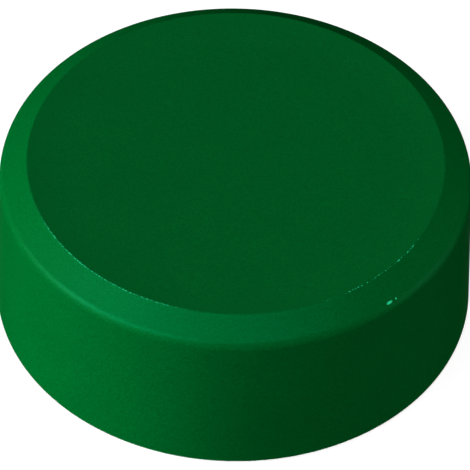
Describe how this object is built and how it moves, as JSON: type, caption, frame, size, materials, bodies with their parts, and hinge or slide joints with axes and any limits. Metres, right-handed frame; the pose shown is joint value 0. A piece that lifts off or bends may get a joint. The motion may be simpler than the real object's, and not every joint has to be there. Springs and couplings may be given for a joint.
{
  "type": "round holding magnet",
  "caption": "Round holding magnet: a steel pot and ferrite disc glued into a bevelled moulded plastic cap, which clings to a flat steel surface by its open face.",
  "frame": {"origin": "centre of the pole face, which is the flat steel and ferrite face that the magnet holds by", "axes": "+Z along the magnet's axis, from the pole face to the top of the cap; X and Y are any two directions across it"},
  "size_m": [0.038, 0.038, 0.015],
  "materials": {
    "cap_plastic": "satin",
    "plated_steel": "satin",
    "ferrite": "matte",
    "epoxy": "satin",
    "glue": "satin"
  },
  "bodies": {
    "root": {"cap": "cap_plastic", "steel_pot": "plated_steel", "ferrite_disc": "ferrite", "epoxy_fill": "epoxy", "glue_bead": "glue"}
  },
  "joints": []
}
